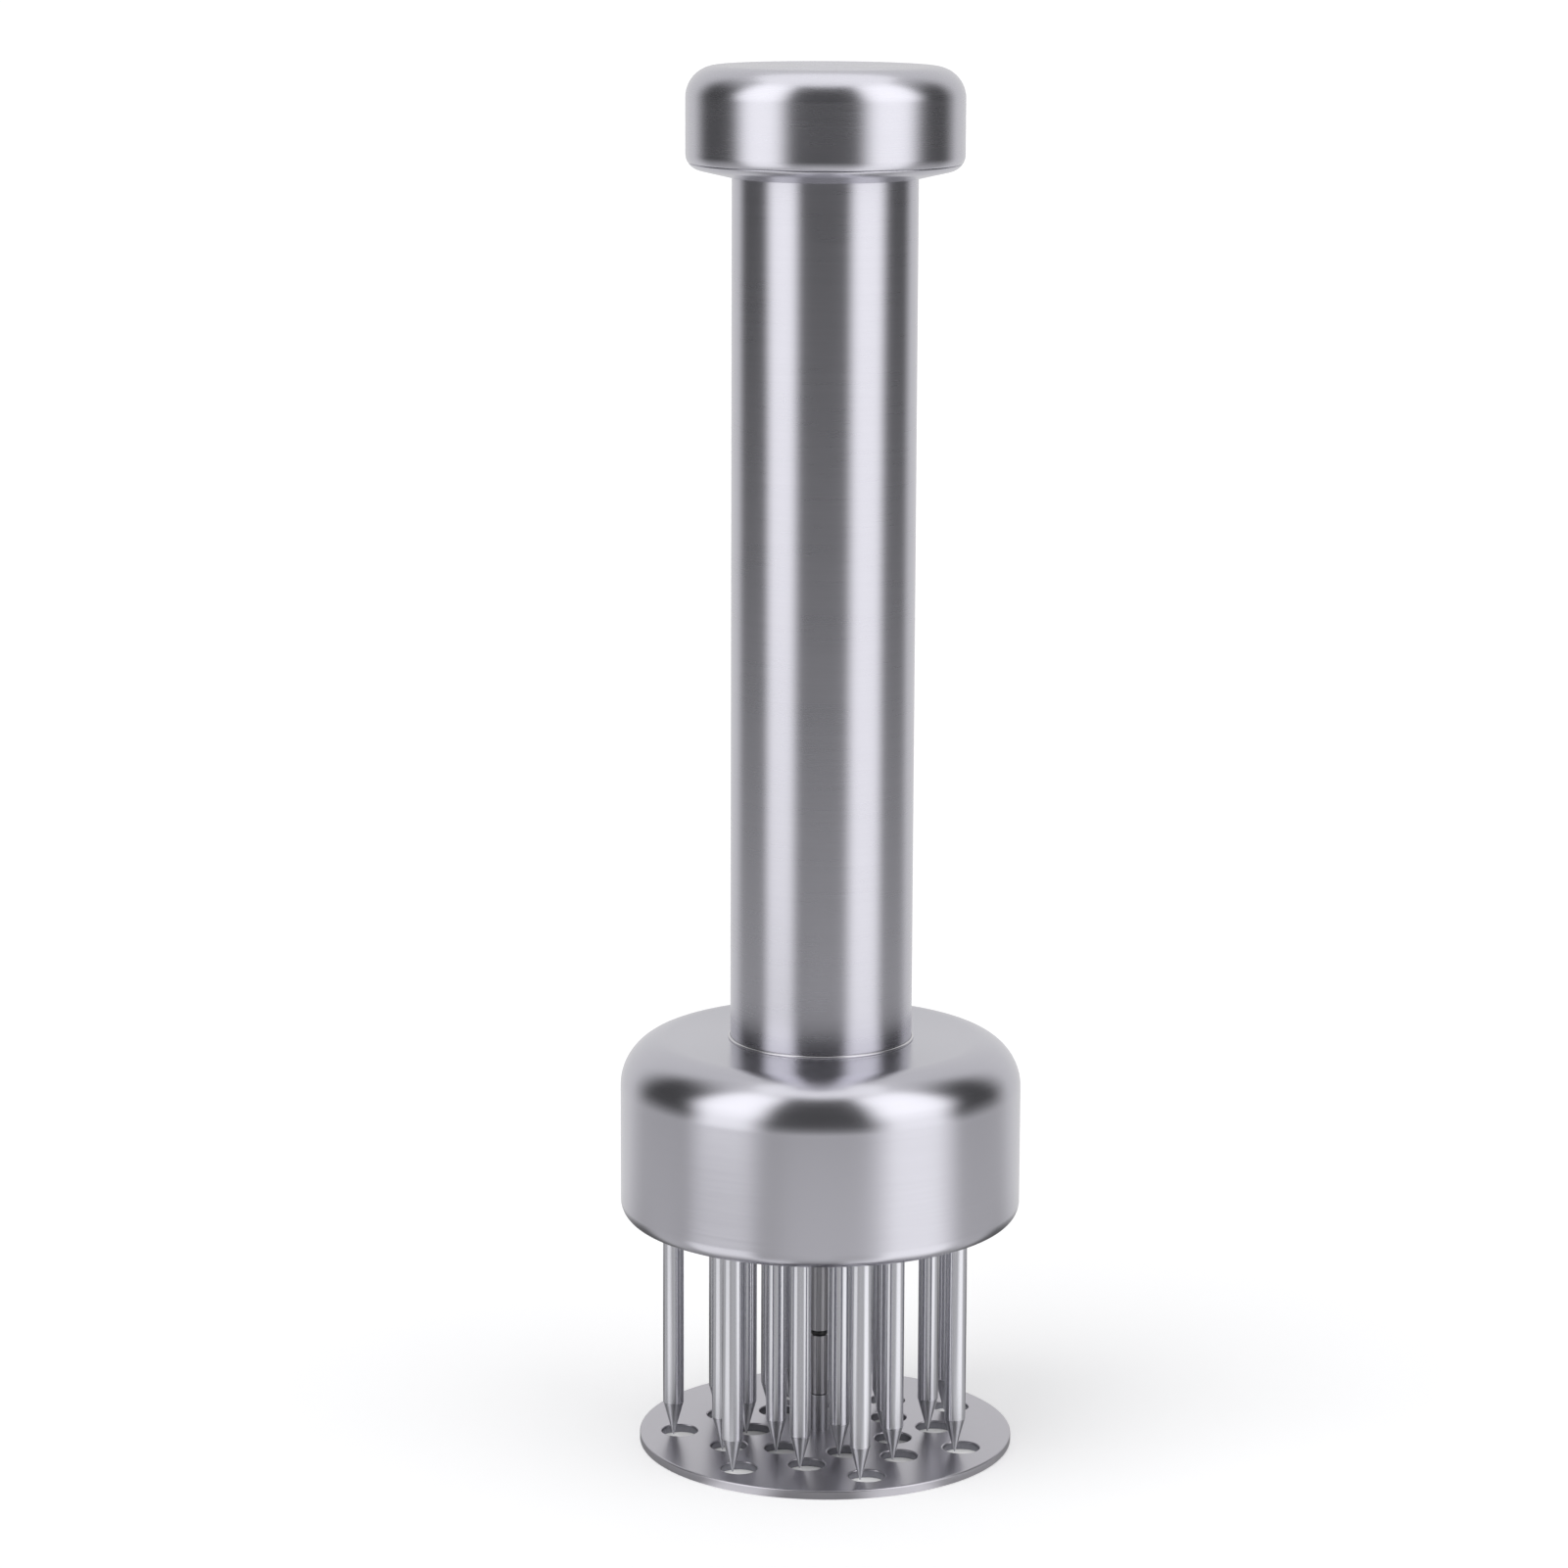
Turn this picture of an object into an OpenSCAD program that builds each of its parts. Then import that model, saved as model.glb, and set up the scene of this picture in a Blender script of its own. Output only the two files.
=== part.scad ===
// Round needle meat tenderizer: a bell with trapped needles on a hollow handle, and a sprung foot plate.
// Z is up, the origin is under the middle of the foot plate, and lengths are in millimetres.

/* [Knob] */
// Diameter of the knob
knob_d = 38.9; // [36:0.1:42]
// Height of the knob above the place where the tube enters it
knob_h = 15.4; // [14:0.1:18]
// Round of the knob's upper edge
knob_top_round = 4.4; // [3:0.1:5]
// Round of the knob's lower edge
knob_low_round = 2.3; // [1.6:0.1:2.5]
// Angle of the knob's underside to the horizontal
knob_slope = 12.5; // [8:0.5:14]
// Wall of the drawn knob cap
knob_wall = 1.2; // [0.8:0.1:1.6]
// Diameter of the stud that joins the knob to the handle
stud_d = 8; // [6:0.5:10]
// Length of the stud
stud_len = 18; // [14:0.5:19]

/* [Handle tube] */
// Outer diameter of the handle tube
tube_d = 26; // [24:0.1:28]
// Wall of the handle tube
tube_wall = 1; // [0.8:0.1:1.4]
// Length of tube that shows between the bell and the knob
tube_len = 122.7; // [105:0.5:140]
// Length of tube inside the knob
tube_in_knob = 4.1; // [3.8:0.1:5]
// Height of the plug in the tube's foot
foot_plug_h = 14; // [12:0.5:18]
// Height of the plug in the tube's top
top_plug_h = 15; // [14:0.5:18]
// How far the polished ring at the tube's foot stands out
seam_ring_out = 0.3; // [0.2:0.05:0.6]
// Height of the polished ring at the tube's foot
seam_ring_h = 0.45; // [0.3:0.05:0.8]

/* [Bell] */
// Diameter of the bell
bell_d = 57.5; // [55:0.5:62]
// Height of the bell
bell_h = 26.4; // [24:0.2:30]
// Round of the bell's shoulder
bell_top_round = 7; // [5:0.5:8]
// Round of the bell's rim
bell_low_round = 2.5; // [2:0.1:3]
// Wall of the bell
bell_wall = 1.2; // [1:0.1:1.5]
// Width of the inward lip beyond the rim's round
lip_w = 0.75; // [0.5:0.05:1]
// Height of the needle plate's face above the bell's rim
plate_recess = 5; // [4:0.2:6]
// Thickness of the needle plate
plate_t = 5; // [4:0.2:6]
// Clearance of the needle plate and its backing block inside the bell's lip
block_clearance = 0.3; // [0.2:0.05:0.5]
// Round of the backing block's upper edge
block_round = 4.5; // [4:0.1:5.5]

/* [Needles] */
// Diameter of a needle
needle_d = 3; // [2.6:0.1:3.2]
// Length of a needle's cone
needle_point = 5; // [4:0.2:7]
// Diameter of the blunt end of the cone
needle_tip_d = 0.2; // [0.1:0.05:0.4]
// Depth of the needles' ends below the foot plate's upper face at rest
tip_sink = 0.6; // [0.3:0.1:0.9]
// Diameter of a needle's head
needle_head_d = 4.4; // [4:0.1:4.8]
// Height of a needle's head
needle_head_h = 1.5; // [1.2:0.1:2]
// Distance from the outer ring of needles to the needle plate's edge
needle_margin = 4; // [3.6:0.1:4.6]
// Needles in one ring
needles_per_ring = 7; // [7:1:7]
// Turn of the needle pattern from the front
pattern_turn = 16.1; // [0:0.1:25]

/* [Foot plate] */
// Distance from the outer ring of holes to the foot plate's edge
foot_margin = 5.8; // [4.8:0.1:6.4]
// Thickness of the foot plate
foot_t = 1.3; // [1.2:0.05:2]
// Bevel of the foot plate's edges
foot_bevel = 0.25; // [0.15:0.05:0.4]
// Diameter of the holes that the needles pass through
hole_d = 5.3; // [4.8:0.1:5.6]
// Bevel of the holes' upper edges
hole_bevel = 0.15; // [0.1:0.05:0.25]
// Free height between the foot plate and the bell at rest
rim_gap = 32.5; // [30:0.5:36]

/* [Rod and boss] */
// Diameter of the guide rod
rod_d = 2.5; // [2.3:0.1:3]
// Diameter of the boss on the foot plate
boss_d = 2.7; // [2.6:0.1:3.4]
// Height of the boss
boss_h = 5.4; // [4.5:0.1:6.5]
// Diameter of the boss's shank where it passes the foot plate
shank_d = 1.8; // [1.4:0.1:2]
// Diameter of the boss's riveted end
rivet_d = 3.4; // [2.8:0.1:4]
// Height of the riveted end's cone
rivet_h = 0.8; // [0.5:0.1:1]
// Diameter of the rod's threaded end in the boss
spigot_d = 1.3; // [1:0.1:1.4]
// Length of the rod's threaded end in the boss
spigot_len = 3.3; // [2.5:0.1:4]
// Height of the rod's ring above the foot plate
ring_height = 14.7; // [11:0.1:18]
// Height of the groove for the rod's ring
groove_h = 0.75; // [0.6:0.05:1]
// Depth of the groove for the rod's ring
groove_depth = 0.4; // [0.3:0.05:0.5]
// Radial clearance of the rod in its bushes
rod_clearance = 0.05; // [0.02:0.01:0.09]

/* [Tie bolt and bushes] */
// Diameter of the hollow tie bolt
bolt_d = 10; // [9:0.5:11]
// Width across the flats of the tie bolt's head
bolt_flats = 12; // [11:0.5:13]
// Height of the tie bolt's head
bolt_head_h = 4; // [3:0.2:4.4]
// Length of the tie bolt inside the tube
bolt_reach = 11.8; // [9:0.2:11.8]
// Outer diameter of the bushes
bush_d = 5; // [4.5:0.1:6]
// Diameter of the bushes' flanges
bush_flange_d = 8; // [7:0.2:9]
// Thickness of the lower bush's flange, which the boss meets at full stroke
bush_flange_t = 1.9; // [1.2:0.1:2.4]
// Thickness of the upper bush's flange
upper_flange_t = 1.2; // [0.8:0.1:1.6]
// Length of a bush inside the tie bolt
bush_len = 12; // [8:0.5:14]
// Gap that is left between the boss and the bush at full stroke
stop_gap = 0.2; // [0.1:0.05:0.5]

/* [Fasteners] */
// Diameter of the needle plate's screws
screw_d = 3; // [2.5:0.1:3.2]
// Diameter of a screw's countersunk head
screw_head_d = 5.5; // [5:0.1:5.8]
// Height of a screw's countersunk head
screw_head_h = 1.7; // [1.2:0.1:2]
// Length of a screw
screw_len = 13; // [10:0.5:16]
// Width across the flats of a screw's socket
socket_flats = 2; // [1.5:0.1:2.2]
// Depth of a screw's socket
socket_depth = 1.1; // [0.8:0.1:1.4]
// Width across the flats of the rod's nuts
nut_flats = 5; // [4.5:0.1:5.5]
// Height of the rod's nuts
nut_h = 2; // [1.6:0.1:2.4]

/* [Plunger and spring] */
// Inner diameter of the rubber bumper
bumper_inner_d = 8; // [7.5:0.1:9]
// Outer diameter of the rubber bumper
bumper_d = 16; // [14:0.5:18]
// Height of the rubber bumper
bumper_h = 3; // [2.8:0.1:4]
// Diameter of the stop washer
washer_d = 14; // [12:0.5:18]
// Thickness of the stop washer
washer_t = 1; // [0.8:0.1:1.5]
// Height of the piston's flange
piston_flange_h = 4; // [3:0.5:6]
// Height of the piston's neck, which centres the spring
piston_neck_h = 6; // [5:0.5:8]
// Depth of the nut's recess in the piston
recess_depth = 4; // [3.5:0.1:4.5]
// Diameter of the nut's recess in the piston
recess_d = 7; // [6.6:0.1:8]
// Radial clearance of the piston in the tube
piston_clearance = 0.3; // [0.2:0.05:0.5]
// Length of the rod above its upper nut
rod_tail = 1; // [0.5:0.1:1.5]
// Thickness of the upper spring seat's flange
seat_flange_t = 1.5; // [1:0.1:2]
// Height of the upper spring seat's neck
seat_neck_h = 5.5; // [4:0.5:8]
// Radial clearance of the spring in the tube
spring_clearance = 1; // [0.8:0.1:1.4]
// Radial clearance of the necks inside the spring's straight-stepped curls
neck_clearance = 0.3; // [0.2:0.05:0.5]
// Diameter of the spring's wire
wire_d = 1.6; // [1.2:0.1:1.8]
// Curls of the spring
spring_turns = 14; // [10:1:18]
// Gap between the spring's ends and its seats
spring_gap = 0.15; // [0.1:0.05:0.3]

/* [Hidden] */
// Gap between pieces that are pressed, screwed or glued together
joint_gap = 0.03;
// Overrun of every cut
over = 1;
// Bevel of small turned edges
edge_bevel = 0.3;
// Fineness of round shapes
fine = 96;
small_fine = 48;
// Rings of needles, and the first ring's radius counted in ring steps
ring_total = 3;
first_ring_steps = 2;
// Places of the plate screws in gaps of the outer ring, as shares of a turn
screw_turn_shares = [0, 2 / needles_per_ring, 5 / needles_per_ring];
// Place of the knob's seam on its lower round, in degrees below the horizontal
seam_angle = 33;
// Depth of the stud in the handle, as a share of its length
stud_low_share = 0.6;
// Sideways place of the foot plate on the boss, as a share of the needles' room in its holes
foot_shift_share = 0.8;
// Sides of the spring's wire and rings in one curl
wire_sides = 6;
rings_per_turn = 8;

knob_r = knob_d / 2;
tube_r = tube_d / 2;
bore_r = tube_r - tube_wall;
bell_r = bell_d / 2;
rod_r = rod_d / 2;
boss_r = boss_d / 2;
bolt_r = bolt_d / 2;
bush_r = bush_d / 2;
wire_r = wire_d / 2;
step_angle = 360 / needles_per_ring;
needle_total = ring_total * needles_per_ring;

boss_z1 = foot_t + boss_h;
rim_z = foot_t + rim_gap;
bell_z1 = rim_z + bell_h;
plate_z0 = rim_z + plate_recess;
plate_z1 = plate_z0 + plate_t;
block_z1 = bell_z1 - bell_wall - joint_gap;
lip_r = bell_r - bell_low_round - lip_w;
block_r = lip_r - block_clearance;
ring_step = (block_r - needle_margin) / (first_ring_steps + ring_total - 1);
outer_ring_r = ring_step * (first_ring_steps + ring_total - 1);
foot_r = outer_ring_r + foot_margin;
foot_shift = (hole_d - needle_d) / 2 * foot_shift_share;
bolt_head_z0 = plate_z0 - bolt_head_h;
bolt_z1 = bell_z1 + bolt_reach;
bush_nose_z = bolt_head_z0 - bush_flange_t;
stroke = bush_nose_z - boss_z1 - stop_gap;

knob_z0 = bell_z1 + tube_len;
knob_z1 = knob_z0 + knob_h;
tube_z1 = knob_z0 + tube_in_knob;
top_plug_z0 = tube_z1 - top_plug_h;
stud_z0 = tube_z1 - stud_len * stud_low_share;
knob_inner_r = knob_r - knob_wall;
knob_inner_z1 = knob_z1 - knob_wall;
low_round_x = knob_r - knob_low_round;
low_round_z = knob_z0 + (low_round_x - tube_r) * tan(knob_slope) + knob_low_round / cos(knob_slope);
seam_z = low_round_z - knob_low_round * sin(seam_angle);

foot_plug_z1 = bell_z1 + foot_plug_h;
bumper_z1 = foot_plug_z1 + bumper_h;
piston_z0 = bumper_z1 + washer_t;
piston_flange_z1 = piston_z0 + piston_flange_h;
piston_z1 = piston_flange_z1 + piston_neck_h;
top_nut_z0 = piston_z1 - recess_depth;
rod_z1 = top_nut_z0 + nut_h + rod_tail;
seat_z1 = top_plug_z0 - joint_gap;
seat_flange_z0 = seat_z1 - seat_flange_t;
spring_r = bore_r - spring_clearance - wire_r;
neck_r = (spring_r - wire_r) * cos(180 / rings_per_turn) - neck_clearance;
piston_r = bore_r - piston_clearance;
spring_z0 = piston_flange_z1 + spring_gap + wire_r;
spring_z1 = seat_flange_z0 - spring_gap - wire_r;
spring_steps = spring_turns * rings_per_turn;

steel = [0.72, 0.72, 0.74];
dark_steel = [0.55, 0.55, 0.57];
brass = [0.78, 0.62, 0.32];
rubber = [0.08, 0.08, 0.08];
nylon = [0.88, 0.87, 0.83];
alloy = [0.80, 0.81, 0.82];

function needle_name(number) = str("needle_", number < 10 ? "0" : "", number);
function ring_of(number) = floor((number - 1) / needles_per_ring);
function spot_of(number) = (number - 1) % needles_per_ring;
function ring_radius(ring) = ring_step * (first_ring_steps + ring);
function spot_angle(ring, spot) = pattern_turn - 90 + (spot + (ring % 2) / 2) * step_angle;
function spot_place(radius, angle) = [radius * cos(angle), radius * sin(angle), 0];
function needle_place(number) =
    spot_place(ring_radius(ring_of(number)), spot_angle(ring_of(number), spot_of(number)));
function screw_place(share) = spot_place(outer_ring_r, spot_angle(1, share * needles_per_ring));
function hex_r(flats) = flats / 2 / cos(30);

echo(foot_stroke = stroke);

// A ring or disc with square edges
module disc(z0, z1, outer_r, inner_r = 0) {
    translate([0, 0, z0])
        difference() {
            cylinder(h = z1 - z0, r = outer_r, $fn = fine);
            if (inner_r > 0)
                translate([0, 0, -over])
                    cylinder(h = z1 - z0 + 2 * over, r = inner_r, $fn = small_fine);
        }
}

// Half section of a turned block with a rounded upper edge
module block_section(radius, z0, z1, top_round) {
    polygon([[0, z0], [radius, z0], [radius, z1 - top_round],
             [radius - top_round, z1 - top_round], [radius - top_round, z1], [0, z1]]);
    translate([radius - top_round, z1 - top_round])
        circle(r = top_round, $fn = fine);
}

// Half section of a turned bell with a rounded shoulder and a rounded rim
module bell_section(radius, z0, z1, top_round, low_round) {
    polygon([[0, z0], [radius - low_round, z0], [radius - low_round, z0 + low_round],
             [radius, z0 + low_round], [radius, z1 - top_round],
             [radius - top_round, z1 - top_round], [radius - top_round, z1], [0, z1]]);
    translate([radius - top_round, z1 - top_round])
        circle(r = top_round, $fn = fine);
    translate([radius - low_round, z0 + low_round])
        circle(r = low_round, $fn = fine);
}

// Half section of the whole knob: a sloping underside, a rounded lower edge and a rounded top
module knob_section() {
    touch_x = low_round_x + knob_low_round * sin(knob_slope);
    touch_z = low_round_z - knob_low_round * cos(knob_slope);
    polygon([[0, knob_z0], [tube_r, knob_z0], [touch_x, touch_z], [low_round_x, low_round_z],
             [knob_r, low_round_z], [knob_r, knob_z1 - knob_top_round],
             [knob_r - knob_top_round, knob_z1 - knob_top_round],
             [knob_r - knob_top_round, knob_z1], [0, knob_z1]]);
    translate([low_round_x, low_round_z])
        circle(r = knob_low_round, $fn = fine);
    translate([knob_r - knob_top_round, knob_z1 - knob_top_round])
        circle(r = knob_top_round, $fn = fine);
}

module knob_cap() {
    color(steel)
        rotate_extrude($fn = fine)
            difference() {
                knob_section();
                translate([-over, knob_z0 - over])
                    square([knob_d, seam_z - knob_z0 + over]);
                block_section(knob_inner_r, seam_z - over, knob_inner_z1, knob_top_round - knob_wall);
            }
}

module knob_base() {
    lower_h = seam_z - joint_gap - knob_z0;
    color(steel)
        rotate_extrude($fn = fine)
            difference() {
                union() {
                    intersection() {
                        knob_section();
                        translate([0, knob_z0])
                            square([knob_d, lower_h]);
                    }
                    translate([0, knob_z0 + lower_h / 2])
                        square([knob_inner_r - joint_gap, tube_in_knob - lower_h / 2 - joint_gap]);
                }
                translate([-over, knob_z0 - over])
                    square([tube_r + joint_gap + over, tube_in_knob + 2 * over]);
            }
}

module knob_core() {
    stud_end = stud_z0 + stud_len + joint_gap;
    color(alloy)
        difference() {
            rotate_extrude($fn = fine)
                block_section(knob_inner_r - joint_gap, tube_z1 + joint_gap, knob_inner_z1 - joint_gap,
                              knob_top_round - knob_wall);
            translate([0, 0, tube_z1 - over])
                cylinder(h = stud_end - tube_z1 + over, r = stud_d / 2 + joint_gap, $fn = small_fine);
        }
}

module knob_stud() {
    color(dark_steel)
        disc(stud_z0, stud_z0 + stud_len, stud_d / 2);
}

module handle_tube() {
    color(steel)
        disc(bell_z1, tube_z1, tube_r, bore_r);
}

module tube_top_plug() {
    color(dark_steel)
        difference() {
            disc(top_plug_z0, tube_z1, bore_r - joint_gap);
            translate([0, 0, stud_z0 - joint_gap])
                cylinder(h = stud_len, r = stud_d / 2 + joint_gap, $fn = small_fine);
        }
}

module spring_seat() {
    color(dark_steel)
        rotate_extrude($fn = fine)
            polygon([[0, seat_flange_z0 - seat_neck_h],
                     [neck_r - edge_bevel, seat_flange_z0 - seat_neck_h],
                     [neck_r, seat_flange_z0 - seat_neck_h + edge_bevel],
                     [neck_r, seat_flange_z0], [piston_r, seat_flange_z0],
                     [piston_r, seat_z1], [0, seat_z1]]);
}

module tube_foot_plug() {
    color(dark_steel)
        disc(bell_z1, foot_plug_z1, bore_r - joint_gap, bolt_r + joint_gap);
}

module seam_ring() {
    outer_r = tube_r + seam_ring_out;
    color(steel)
        rotate_extrude($fn = fine)
            polygon([[tube_r + joint_gap, bell_z1], [outer_r, bell_z1],
                     [outer_r, bell_z1 + seam_ring_h / 2],
                     [tube_r + joint_gap, bell_z1 + seam_ring_h]]);
}

module bell_housing() {
    color(steel)
        rotate_extrude($fn = fine)
            difference() {
                bell_section(bell_r, rim_z, bell_z1, bell_top_round, bell_low_round);
                bell_section(bell_r - bell_wall, rim_z + bell_wall, bell_z1 - bell_wall,
                             bell_top_round - bell_wall, bell_low_round - bell_wall);
                translate([-over, rim_z - over])
                    square([lip_r + over, bell_wall + 2 * over]);
                translate([-over, bell_z1 - bell_wall - over])
                    square([bolt_r + joint_gap + over, bell_wall + 2 * over]);
            }
}

module backing_block() {
    color(nylon)
        difference() {
            rotate_extrude($fn = fine)
                block_section(block_r, plate_z1, block_z1, block_round);
            translate([0, 0, plate_z1 - over])
                cylinder(h = block_z1 - plate_z1 + 2 * over, r = bolt_r + joint_gap, $fn = small_fine);
            for (share = screw_turn_shares)
                translate(screw_place(share) + [0, 0, plate_z1 - over])
                    cylinder(h = plate_z0 + screw_len - plate_z1 + over + joint_gap,
                             r = screw_d / 2 + joint_gap, $fn = small_fine);
        }
}

module needle_plate() {
    color(steel)
        difference() {
            disc(plate_z0, plate_z1 - joint_gap, block_r, bolt_r + joint_gap);
            for (number = [1:needle_total])
                translate(needle_place(number)) {
                    translate([0, 0, plate_z0 - over])
                        cylinder(h = plate_t + 2 * over, r = needle_d / 2 + joint_gap, $fn = small_fine);
                    translate([0, 0, plate_z1 - needle_head_h - joint_gap])
                        cylinder(h = needle_head_h + over, r = needle_head_d / 2 + joint_gap,
                                 $fn = small_fine);
                }
            for (share = screw_turn_shares)
                translate(screw_place(share) + [0, 0, plate_z0]) {
                    translate([0, 0, -over])
                        cylinder(h = plate_t + 2 * over, r = screw_d / 2 + joint_gap, $fn = small_fine);
                    translate([0, 0, -joint_gap])
                        cylinder(h = screw_head_h + 2 * joint_gap, r1 = screw_head_d / 2 + joint_gap,
                                 r2 = screw_d / 2 + joint_gap, $fn = small_fine);
                }
        }
}

module plate_screws() {
    color(dark_steel)
        for (share = screw_turn_shares)
            translate(screw_place(share) + [0, 0, plate_z0])
                difference() {
                    union() {
                        cylinder(h = screw_head_h, r1 = screw_head_d / 2, r2 = screw_d / 2,
                                 $fn = small_fine);
                        cylinder(h = screw_len, r = screw_d / 2, $fn = small_fine);
                    }
                    translate([0, 0, -over])
                        cylinder(h = socket_depth + over, r = hex_r(socket_flats), $fn = 6);
                }
}

module tie_bolt() {
    color(dark_steel)
        difference() {
            union() {
                disc(plate_z0 - joint_gap - edge_bevel, bolt_z1, bolt_r);
                translate([0, 0, bolt_head_z0])
                    cylinder(h = bolt_head_h - joint_gap, r = hex_r(bolt_flats), $fn = 6);
            }
            translate([0, 0, bolt_head_z0 - over])
                cylinder(h = bolt_z1 - bolt_head_z0 + 2 * over, r = bush_r + joint_gap, $fn = small_fine);
        }
}

module lower_bush() {
    color(brass)
        rotate_extrude($fn = small_fine)
            polygon([[rod_r + rod_clearance, bush_nose_z], [bush_flange_d / 2 - edge_bevel, bush_nose_z],
                     [bush_flange_d / 2, bush_nose_z + edge_bevel],
                     [bush_flange_d / 2, bolt_head_z0 - joint_gap], [bush_r, bolt_head_z0 - joint_gap],
                     [bush_r, bolt_head_z0 + bush_len], [rod_r + rod_clearance, bolt_head_z0 + bush_len]]);
}

module upper_bush() {
    top_z = bolt_z1 + joint_gap + upper_flange_t;
    color(brass)
        rotate_extrude($fn = small_fine)
            polygon([[rod_r + rod_clearance, bolt_z1 - bush_len], [bush_r, bolt_z1 - bush_len],
                     [bush_r, bolt_z1 + joint_gap], [bush_flange_d / 2, bolt_z1 + joint_gap],
                     [bush_flange_d / 2, top_z], [rod_r + rod_clearance, top_z]]);
}

module bumper() {
    color(rubber)
        disc(foot_plug_z1, bumper_z1, bumper_d / 2, bumper_inner_d / 2);
}

// The plate and its holes sit a little to the right of the boss, so the needles pass left of centre
module foot_plate() {
    color(steel)
        difference() {
            translate([foot_shift, 0, 0])
                rotate_extrude($fn = fine)
                    polygon([[0, 0], [foot_r - foot_bevel, 0], [foot_r, foot_bevel],
                             [foot_r, foot_t - foot_bevel], [foot_r - foot_bevel, foot_t],
                             [0, foot_t]]);
            for (number = [1:needle_total])
                translate(needle_place(number) + [foot_shift, 0, 0]) {
                    translate([0, 0, -over])
                        cylinder(h = foot_t + 2 * over, r = hole_d / 2, $fn = small_fine);
                    translate([0, 0, foot_t - hole_bevel])
                        cylinder(h = 2 * hole_bevel, r1 = hole_d / 2, r2 = hole_d / 2 + 2 * hole_bevel,
                                 $fn = small_fine);
                }
            translate([0, 0, -over])
                cylinder(h = foot_t + 2 * over, r = shank_d / 2 + joint_gap, $fn = small_fine);
            translate([0, 0, -joint_gap])
                cylinder(h = rivet_h + 2 * joint_gap, r1 = rivet_d / 2 + joint_gap,
                         r2 = shank_d / 2 + joint_gap, $fn = small_fine);
        }
}

module foot_boss() {
    bore_z = boss_z1 - spigot_len - joint_gap;
    color(dark_steel)
        rotate_extrude($fn = small_fine)
            polygon([[0, 0], [rivet_d / 2, 0], [shank_d / 2, rivet_h], [shank_d / 2, foot_t],
                     [boss_r, foot_t], [boss_r, boss_z1],
                     [spigot_d / 2 + joint_gap, boss_z1], [spigot_d / 2 + joint_gap, bore_z],
                     [0, bore_z]]);
}

module guide_rod() {
    groove_r = rod_r - groove_depth;
    groove_z0 = foot_t + ring_height - groove_h / 2;
    groove_z1 = groove_z0 + groove_h;
    rim_bevel = groove_depth / 4;
    color(steel)
        rotate_extrude($fn = small_fine)
            polygon([[0, boss_z1 - spigot_len], [spigot_d / 2, boss_z1 - spigot_len],
                     [spigot_d / 2, boss_z1 + joint_gap], [rod_r, boss_z1 + joint_gap],
                     [rod_r, groove_z0 - rim_bevel], [rod_r - rim_bevel, groove_z0],
                     [groove_r, groove_z0], [groove_r, groove_z1],
                     [rod_r - rim_bevel, groove_z1], [rod_r, groove_z1 + rim_bevel],
                     [rod_r, rod_z1 - edge_bevel], [rod_r - edge_bevel, rod_z1], [0, rod_z1]]);
}

module rod_ring() {
    ring_r0 = rod_r - groove_depth + joint_gap;
    ring_r1 = rod_r - 2 * joint_gap;
    ring_z0 = foot_t + ring_height - groove_h / 2 + joint_gap;
    ring_z1 = ring_z0 + groove_h - 2 * joint_gap;
    bevel = groove_h / 5;
    color(rubber)
        rotate_extrude($fn = small_fine)
            polygon([[ring_r0, ring_z0], [ring_r1 - bevel, ring_z0], [ring_r1, ring_z0 + bevel],
                     [ring_r1, ring_z1 - bevel], [ring_r1 - bevel, ring_z1], [ring_r0, ring_z1]]);
}

module stop_washer() {
    color(dark_steel)
        disc(bumper_z1, piston_z0, washer_d / 2, rod_r + joint_gap);
}

// The two nuts hold the stop washer and the piston between them
module rod_nuts() {
    color(dark_steel)
        for (z0 = [bumper_z1 - nut_h - joint_gap, top_nut_z0 + joint_gap])
            translate([0, 0, z0])
                difference() {
                    cylinder(h = nut_h, r = hex_r(nut_flats), $fn = 6);
                    translate([0, 0, -over])
                        cylinder(h = nut_h + 2 * over, r = rod_r + joint_gap, $fn = small_fine);
                }
}

module spring_piston() {
    color(nylon)
        rotate_extrude($fn = fine)
            polygon([[rod_r + joint_gap, piston_z0 + joint_gap], [piston_r, piston_z0 + joint_gap],
                     [piston_r, piston_flange_z1], [neck_r, piston_flange_z1],
                     [neck_r, piston_z1 - edge_bevel], [neck_r - edge_bevel, piston_z1],
                     [recess_d / 2, piston_z1], [recess_d / 2, top_nut_z0],
                     [rod_r + joint_gap, top_nut_z0]]);
}

// Points of the spring's wire: one ring of wire_sides points at each step along the helix
function spring_turn_angle(step) = step * 360 / rings_per_turn;
function spring_height(step) = spring_z0 + (spring_z1 - spring_z0) * step / spring_steps;
function spring_point(step, side) =
    let (turn = spring_turn_angle(step),
         around = side * 360 / wire_sides,
         radius = spring_r + wire_r * cos(around))
    [radius * cos(turn), radius * sin(turn), spring_height(step) + wire_r * sin(around)];

module return_spring() {
    points = [for (step = [0:spring_steps]) for (side = [0:wire_sides - 1]) spring_point(step, side)];
    walls = [for (step = [0:spring_steps - 1]) for (side = [0:wire_sides - 1])
        let (here = step * wire_sides, next = (side + 1) % wire_sides)
        each [[here + side, here + wire_sides + side, here + wire_sides + next],
              [here + side, here + wire_sides + next, here + next]]];
    last = spring_steps * wire_sides;
    ends = [for (side = [1:wire_sides - 2])
        each [[0, side, side + 1], [last, last + side + 1, last + side]]];
    color(steel)
        polyhedron(points = points, faces = concat(walls, ends));
}

// Least gap between two neighbouring curls, measured on the points
spring_self_gap = min([for (side = [0:wire_sides - 1]) for (other = [0:wire_sides - 1])
    norm(spring_point(rings_per_turn, other) - spring_point(0, side))]);
echo(spring_self_gap = spring_self_gap);

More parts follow.
